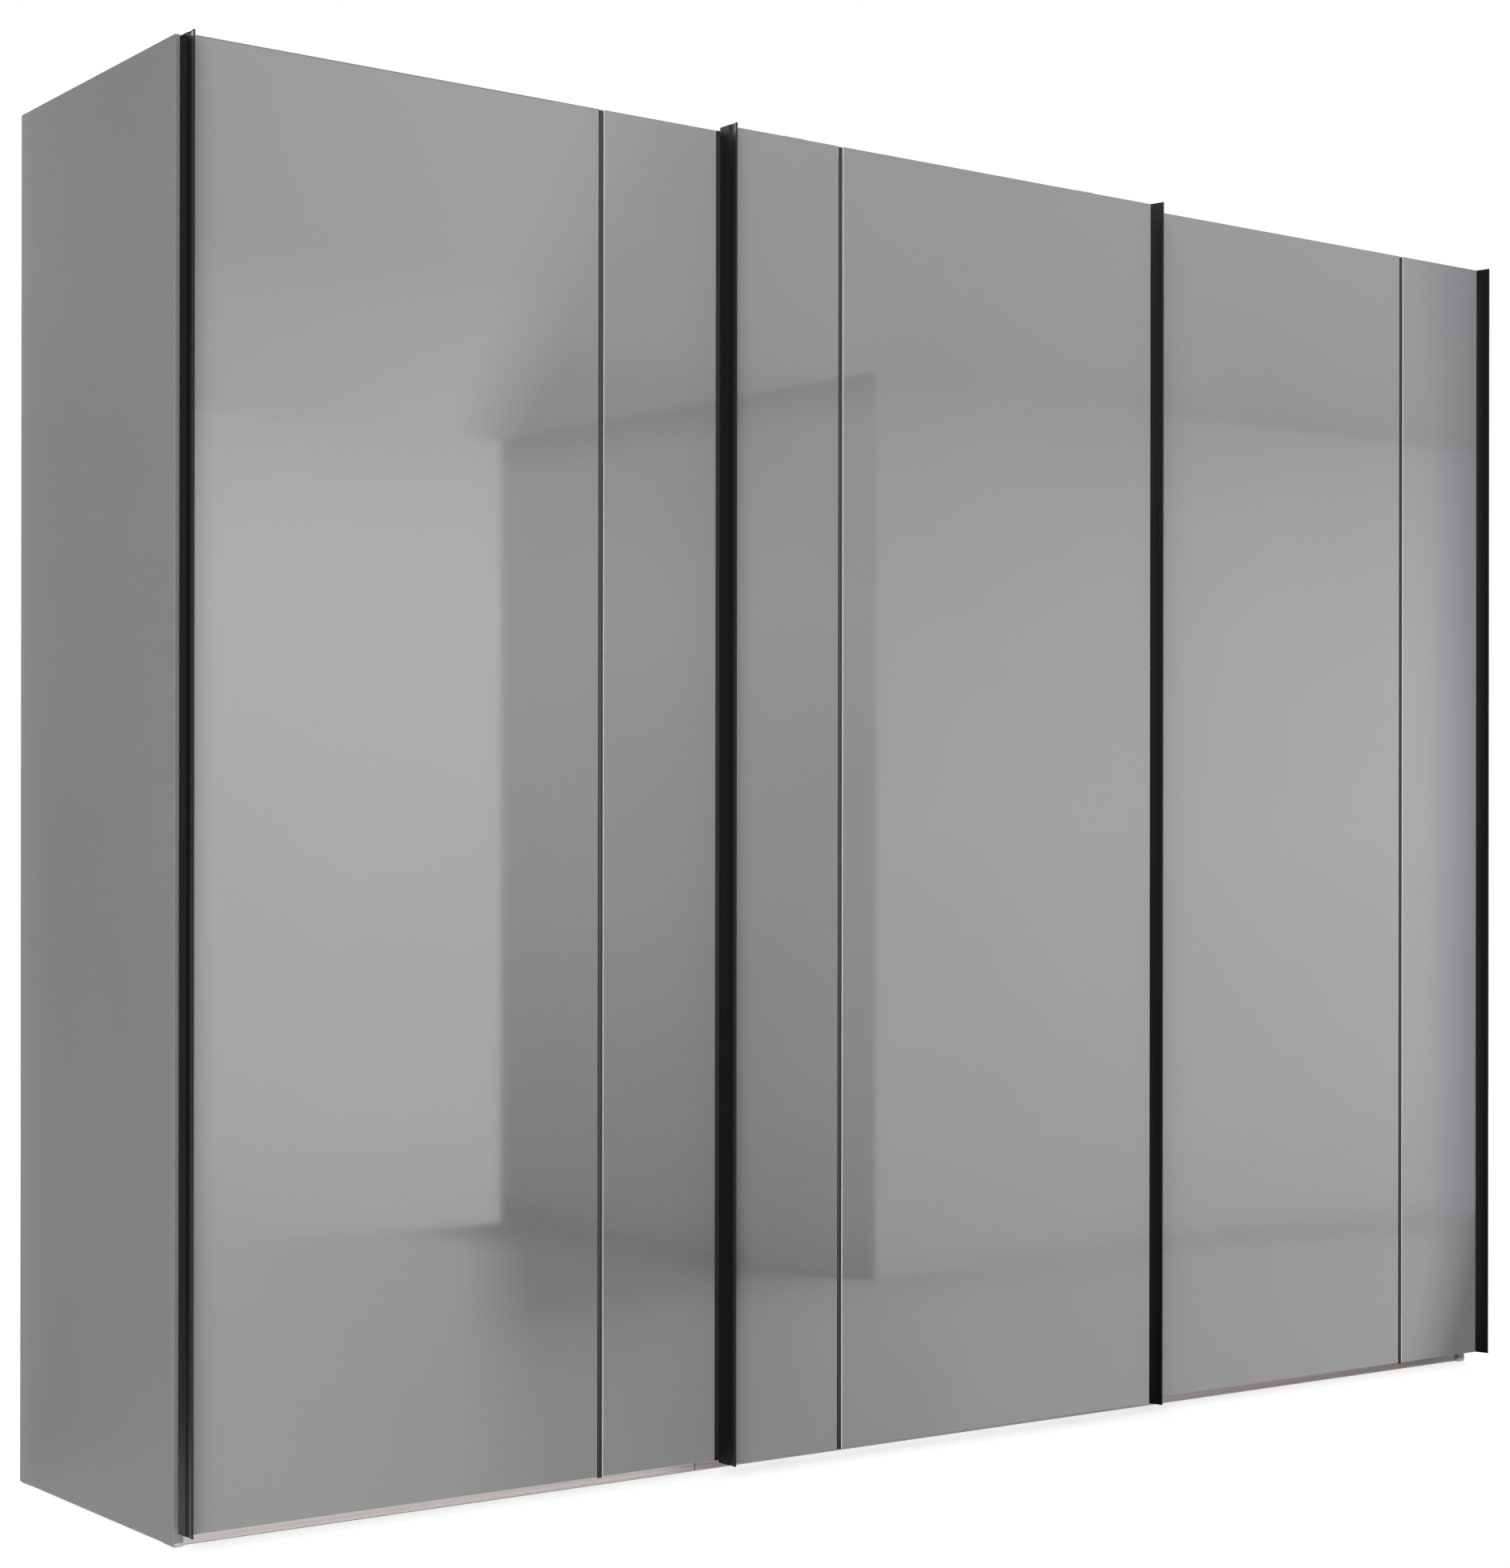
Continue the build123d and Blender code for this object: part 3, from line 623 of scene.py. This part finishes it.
def seen_directly(tree):
    """1 where the camera, a mirror or a clear pane looks, and 0 for light that only falls on things."""
    path = add_node(tree, "ShaderNodeLightPath")
    mirrored = add_node(
        tree,
        "ShaderNodeMath",
        {0: path.outputs["Is Glossy Ray"], 1: path.outputs["Is Transmission Ray"]},
        operation="MAXIMUM",
    )
    return add_node(
        tree,
        "ShaderNodeMath",
        {0: path.outputs["Is Camera Ray"], 1: mirrored},
        operation="MAXIMUM",
    )


def add_card(name, corners, material):
    """A flat four-cornered card."""
    mesh = bpy.data.meshes.new(name)
    mesh.from_pydata(corners, [], [(0, 1, 2, 3)])
    mesh.materials.append(material)
    return add_object(name, mesh)


def make_studio():
    """A white surround that lights softly, and a pale floor that keeps the shadow."""
    world = bpy.data.worlds.new("white_studio")
    tree = bare_nodes(world)
    light = add_node(tree, "ShaderNodeBackground", {"Color": srgb("#ffffff"), "Strength": ROOM_LIGHT})
    white = add_node(tree, "ShaderNodeBackground", {"Color": srgb("#ffffff"), "Strength": 1.0})
    both = add_node(tree, "ShaderNodeMixShader", {0: seen_directly(tree), 1: light, 2: white})
    add_node(tree, "ShaderNodeOutputWorld", {"Surface": both})
    bpy.context.scene.world = world

    material = bpy.data.materials.new("studio_floor_white")
    tree = bare_nodes(material)
    bounce = add_node(tree, "ShaderNodeBsdfDiffuse", {"Color": srgb("#b8b8b8")})
    shaded = add_node(tree, "ShaderNodeBsdfDiffuse", {"Color": srgb("#adadad")})
    glow = add_node(tree, "ShaderNodeEmission", {"Color": srgb("#ffffff"), "Strength": FLOOR_GLOW})
    shown = add_node(tree, "ShaderNodeAddShader", {0: shaded, 1: glow})
    both = add_node(tree, "ShaderNodeMixShader", {0: seen_directly(tree), 1: bounce, 2: shown})
    add_node(tree, "ShaderNodeOutputMaterial", {"Surface": both})
    half = FLOOR_SPREAD / 2
    corners = ((-half, -half, 0), (half, -half, 0), (half, half, 0), (-half, half, 0))
    floor = add_card("studio_floor", corners, material)


def share_of_way(tree, place, way):
    """How far a point lies along a way: 0 at its start and 1 at its end."""
    start, end = way
    run = end - start
    from_start = {0: place.outputs["Object"], 1: start}
    offset = add_node(tree, "ShaderNodeVectorMath", from_start, operation="SUBTRACT")
    along = {0: offset, 1: run / run.length_squared}
    share = add_node(tree, "ShaderNodeVectorMath", along, operation="DOT_PRODUCT")
    return share.outputs["Value"]


def shade_of(tree, place, tones):
    """What tones make of white at each point of a card: each one runs along a way, and they multiply."""
    shade = None
    for way, stops in tones:
        share = share_of_way(tree, place, way)
        tone = add_node(tree, "ShaderNodeValToRGB", {"Fac": share}, stops=stops)
        if shade is None:
            shade = tone
        else:
            both = {"Fac": 1.0, "Color1": shade, "Color2": tone}
            shade = add_node(tree, "ShaderNodeMixRGB", both, blend_type="MULTIPLY")
    return srgb("#ffffff") if shade is None else shade


def mirrored_card(name, corners, glow, tones=(), haze=0.0, haze_tones=(), fade=None):
    """A card that only mirrors see. Its tones shade its glow.

    Haze is an even light on top of the glow, which only tones of its own shade.
    A card with a fade thins out to nothing along that way.
    """
    material = bpy.data.materials.new(f"{name}_paint")
    tree = bare_nodes(material)
    place = add_node(tree, "ShaderNodeTexCoord")
    shade = shade_of(tree, place, tones)
    light = add_node(tree, "ShaderNodeEmission", {"Color": shade, "Strength": glow})
    if haze:
        shade = shade_of(tree, place, haze_tones)
        veil = add_node(tree, "ShaderNodeEmission", {"Color": shade, "Strength": haze})
        light = add_node(tree, "ShaderNodeAddShader", {0: light, 1: veil})
    if fade:
        nothing = add_node(tree, "ShaderNodeBsdfTransparent")
        gone = share_of_way(tree, place, fade)
        light = add_node(tree, "ShaderNodeMixShader", {0: gone, 1: light, 2: nothing})
    add_node(tree, "ShaderNodeOutputMaterial", {"Surface": light})
    card = add_card(name, corners, material)
    card.visible_camera = False
    card.visible_diffuse = False
    card.visible_transmission = False
    card.visible_volume_scatter = False
    card.visible_shadow = False


def standing(start, end, top, foot=0.0):
    """The corners of a wall between two places in plan."""
    return ((*start, foot), (*end, foot), (*end, top), (*start, top))


def lying(start_x, end_x, height, near, far=FAR_WALL_Y):
    """The corners of a level strip of the room, from a far line to one nearer the doors.

    Both ends give the x at the far line and the x at the near one.
    """
    return (
        (start_x[0], far, height),
        (end_x[0], far, height),
        (end_x[1], near, height),
        (start_x[1], near, height),
    )


def make_mirrored_room():
    """The walls, ceiling and floor that the doors mirror, as they stand in front of the wardrobe, made of
    glowing cards: their glow and tones are painted light and shade, a painted reflection.

    The lit part of the room lies to the left of a line across its ceiling and floor.
    Its right end falls dark.
    """
    room_left = (ROOM_LEFT, ROOM_LEFT)
    room_right = (ROOM_RIGHT, ROOM_RIGHT)
    wardrobe_left = (-WARDROBE_SIDE_X, -WARDROBE_SIDE_X)
    wardrobe_right = (WARDROBE_SIDE_X, WARDROBE_SIDE_X)
    past_ceiling_line = tuple(x + EDGE_OVERLAP for x in CEILING_LINE)
    before_ceiling_line = tuple(x - EDGE_OVERLAP for x in CEILING_LINE)
    past_floor_line = tuple(x + EDGE_OVERLAP for x in FLOOR_LINE)
    before_floor_line = tuple(x - EDGE_OVERLAP for x in FLOOR_LINE)
    hazy = (INTO_HAZE, ((0.0, "#000000"), (1.0, "#ffffff")))
    dim_floor = (
        INTO_DIM_FLOOR,
        ((0.0, "#ffffff"), (0.4, "#ededed"), (0.7, "#c8c8c8"), (0.85, "#a0a0a0"), (1.0, "#404040")),
    )
    dusk = (INTO_DUSK, ((0.0, "#ffffff"), (0.25, "#f5f7fb"), (0.6, "#b6bcc8"), (1.0, "#525a68")))
    # Painted shade: each wall's glow falls off towards its foot and its top, where the room's corners shade
    # it.
    far_wall_height = (
        (0.0, "#d0d0d0"),
        (0.14, "#e4e4e4"),
        (0.44, "#f2f2f2"),
        (0.8, "#ffffff"),
        (0.94, "#f2f2f2"),
        (1.0, "#e8e8e8"),
    )
    dark_wall_height = (
        (0.0, "#202020"),
        (0.06, "#747474"),
        (0.25, "#aaaaaa"),
        (0.45, "#dcdcdc"),
        (0.75, "#ffffff"),
        (0.95, "#f2f2f2"),
        (1.0, "#a8a8a8"),
    )
    near_wall_height = (
        (0.0, "#bebebe"),
        (0.03, "#d9d9d9"),
        (0.14, "#eaeaea"),
        (0.5, "#ffffff"),
        (0.72, "#fafafa"),
        (0.88, "#ebebeb"),
        (1.0, "#d2d2d2"),
    )
    shaded_ceiling_depth = (
        (0.0, "#ffffff"),
        (0.38, "#f5f5f5"),
        (0.53, "#eeeeee"),
        (0.65, "#dddddd"),
        (0.8, "#cfcfcf"),
    )
    shaded_floor_width = (
        (0.0, "#bebebe"),
        (0.1, "#b1b1b1"),
        (0.25, "#c8c8c8"),
        (0.4, "#ececec"),
        (0.65, "#f7f7f7"),
        (1.0, "#ffffff"),
    )
    # Painted shade: the floor darkens into the corner beside the dark wall.
    dark_corner = (
        (0.0, "#ffffff"),
        (0.2, "#f7f7f7"),
        (0.42, "#dcdcdc"),
        (0.67, "#6c6c6c"),
        (1.0, "#202020"),
    )
    # Painted shadow of the doors on the floor beneath them: light under the left door, dark where the middle
    # and right doors stand.
    under_doors = (
        (0.0, "#ffffff"),
        (0.31, "#ffffff"),
        (0.345, "#6c6c6c"),
        (0.65, "#303030"),
        (0.68, "#909090"),
        (0.9, "#6c6c6c"),
        (1.0, "#303030"),
    )
    mirrored_card(
        "mirrored_far_wall",
        standing((ROOM_LEFT, FAR_WALL_Y), (CORNER_X, FAR_WALL_Y), ROOM_HEIGHT),
        glow=5.3,
        tones=((UP_THE_WALLS, far_wall_height),),
        haze=0.6,
        haze_tones=(hazy,),
    )
    mirrored_card(
        "mirrored_dark_wall",
        standing((CORNER_X, FAR_WALL_Y), (STEP_X, NEAR_WALL_Y), ROOM_HEIGHT),
        glow=3.9,
        tones=(
            (UP_THE_WALLS, dark_wall_height),
            (FAR_TO_NEAR_WALL, ((0.0, "#ffffff"), (1.0, "#ececec"))),
            # Painted shade: the dark wall darkens towards the far wall and higher up, by the corner.
            (DOWN_DARK_WALL, ((0.4, "#cbcbcb"), (0.65, "#dcdcdc"), (0.88, "#eaeaea"), (1.0, "#ffffff"))),
        ),
        # Its haze dies out at the foot of the wall: painted shade in the corner with the floor.
        haze=0.57,
        haze_tones=(
            (
                DARK_WALL_FOOT,
                ((0.0, "#000000"), (0.05, "#7c7c7c"), (0.1, "#b2b2b2"), (0.3, "#dadada"), (1.0, "#ffffff")),
            ),
        ),
    )
    mirrored_card(
        "mirrored_near_wall",
        standing((STEP_X, NEAR_WALL_Y), (ROOM_RIGHT, NEAR_WALL_Y), ROOM_HEIGHT),
        glow=3.65,
        tones=(
            (UP_THE_WALLS, near_wall_height),
            # Painted shade: the near wall darkens a little towards the step.
            (ALONG_NEAR_WALL, ((0.0, "#f3f3f3"), (0.4, "#f7f7f7"), (1.0, "#ffffff"))),
            dusk,
        ),
        haze=0.51,
    )
    mirrored_card(
        "mirrored_ceiling_lit",
        lying(room_left, past_ceiling_line, ROOM_HEIGHT - CARD_STEP, CEILING_FRONT),
        glow=4.3,
        tones=(
            (DOORS_TO_FAR_WALL, ((0.0, "#e7e7e7"), (0.37, "#e6e6e6"), (0.55, "#f4f4f4"), (1.0, "#ffffff"))),
            (LIT_CEILING, ((0.0, "#f0f0f0"), (1.0, "#ffffff"))),
        ),
        haze=0.6,
        haze_tones=(hazy,),
        fade=LIT_CEILING_FADE,
    )
    mirrored_card(
        "mirrored_ceiling_shaded",
        lying(before_ceiling_line, room_right, ROOM_HEIGHT, CEILING_FRONT),
        glow=2.45,
        tones=(
            (DOORS_TO_FAR_WALL, shaded_ceiling_depth),
            (SHADED_CEILING, ((0.0, "#ffffff"), (1.0, "#eeeeee"))),
            dusk,
        ),
        haze=0.53,
    )
    mirrored_card(
        "mirrored_floor_lit",
        lying(room_left, past_floor_line, FLOOR_CARD_Z + CARD_STEP, FLOOR_FRONT),
        glow=3.3,
        tones=(
            (LIT_FLOOR, ((0.0, "#ffffff"), (0.36, "#f2f2f2"), (1.0, "#dfdfdf"))),
            (DOORS_TO_FAR_WALL, ((0.0, "#f7f7f7"), (1.0, "#ffffff"))),
        ),
        haze=0.6,
        haze_tones=(hazy,),
        fade=LIT_FLOOR_FADE,
    )
    mirrored_card(
        "mirrored_floor_shaded",
        lying(before_floor_line, room_right, FLOOR_CARD_Z, FLOOR_FRONT),
        glow=2.27,
        tones=(
            (SHADED_FLOOR, shaded_floor_width),
            (INTO_DARK_CORNER, dark_corner),
            dim_floor,
            # Painted shade: the floor darkens slightly towards the foot of a wall.
            (TO_WALL_FOOT, ((0.0, "#ffffff"), (1.0, "#ebebeb"))),
            dusk,
        ),
        haze=0.53,
        haze_tones=(dim_floor,),
    )
    # A dim strip lying at the foot of the dark wall and fading out from it: a painted shadow on the mirrored
    # floor.
    mirrored_card(
        "mirrored_dark_wall_foot",
        (
            (CORNER_X, FAR_WALL_Y, WALL_FOOT_Z),
            (STEP_X, NEAR_WALL_Y, WALL_FOOT_Z),
            (*WALL_FOOT_NEAR, WALL_FOOT_Z),
            (*WALL_FOOT_FAR, WALL_FOOT_Z),
        ),
        glow=0.08,
        fade=DARK_WALL_FOOT_FADE,
    )
    # The floor under the doors, with their painted shadow, as the guide rail mirrors it.
    mirrored_card(
        "mirrored_floor_under_doors",
        lying(wardrobe_left, wardrobe_right, FLOOR_CARD_Z, RAIL_FRONT, far=FLOOR_FRONT),
        glow=1.6,
        tones=((ALONG_DOORS, under_doors),),
    )
    # A glowing sheet in the opening that stands in for the room's light as mirrors inside the carcass see it;
    # painted darker towards its foot.
    mirrored_card(
        "mirrored_room_from_inside",
        standing((-OPENING_SIDE_X, OPENING_Y), (OPENING_SIDE_X, OPENING_Y), ROOM_HEIGHT, foot=OPENING_FOOT),
        glow=1.2,
        tones=((UP_THE_WALLS, ((0.0, "#8a8a8a"), (0.5, "#d0d0d0"), (1.0, "#ffffff"))),),
    )
    # Dim glowing sheets behind the wardrobe: painted shade that the side panels mirror in place of the
    # brighter surround, darker towards the top.
    for name, inner, outer in (
        ("mirrored_back_wall_left", -WARDROBE_SIDE_X, ROOM_LEFT),
        ("mirrored_back_wall_right", WARDROBE_SIDE_X, ROOM_RIGHT),
    ):
        mirrored_card(
            name,
            standing((outer, BACK_WALL_Y), (inner, BACK_WALL_Y), BACK_WALL_TOP),
            glow=0.3,
            tones=((UP_THE_WALLS, ((0.0, "#ffffff"), (1.0, "#dcdcdc"))),),
        )


def add_softbox(name, place, target, width, height, watts):
    """A soft box that mirrors don't see."""
    lamp = bpy.data.lights.new(name, "AREA")
    lamp.shape = "RECTANGLE"
    lamp.size = width
    lamp.size_y = height
    lamp.energy = watts
    box = add_object(name, lamp)
    box.location = place
    box.rotation_euler = (Vector(target) - Vector(place)).to_track_quat("-Z", "Y").to_euler()
    box.visible_glossy = False


def add_key_light():
    """The main light: broad, even and far away to the left of the front. Mirrors don't see it."""
    lamp = bpy.data.lights.new("key_light", "SUN")
    lamp.energy = KEY_STRENGTH
    lamp.angle = math.radians(KEY_SPREAD)
    key = add_object("key_light", lamp)
    key.rotation_euler = Vector(KEY_TOWARDS).to_track_quat("Z", "Y").to_euler()
    key.visible_glossy = False


def add_camera():
    """The camera that took the photograph, level and turned to the right."""
    lens = bpy.data.cameras.new("photo_camera")
    lens.sensor_width = SENSOR
    lens.lens = FOCAL_PIXELS / PHOTO_HEIGHT * SENSOR
    lens.shift_y = (HORIZON_PIXEL - PHOTO_HEIGHT / 2) / PHOTO_HEIGHT
    lens.clip_end = VIEW_DISTANCE
    camera = add_object("photo_camera", lens)
    aim = Matrix.Rotation(math.radians(-CAMERA_TURN), 4, "Z") @ Matrix.Rotation(math.radians(90.0), 4, "X")
    roll = Matrix.Rotation(math.radians(CAMERA_ROLL), 4, "Z")
    camera.matrix_world = Matrix.Translation(CAMERA_PLACE) @ aim @ roll
    bpy.context.scene.camera = camera


make_studio()
make_mirrored_room()
add_key_light()
add_softbox(
    "back_softbox", place=(5.0, 5.5, 4.0), target=(0.0, 0.0, 1.1), width=4.0, height=3.0, watts=400.0
)
add_softbox(
    "side_softbox", place=(-3.4, 0.3, 2.9), target=(-1.39, 0.1, 2.0), width=1.2, height=1.2, watts=10.0
)
add_camera()

bpy.context.scene.view_settings.view_transform = "Standard"
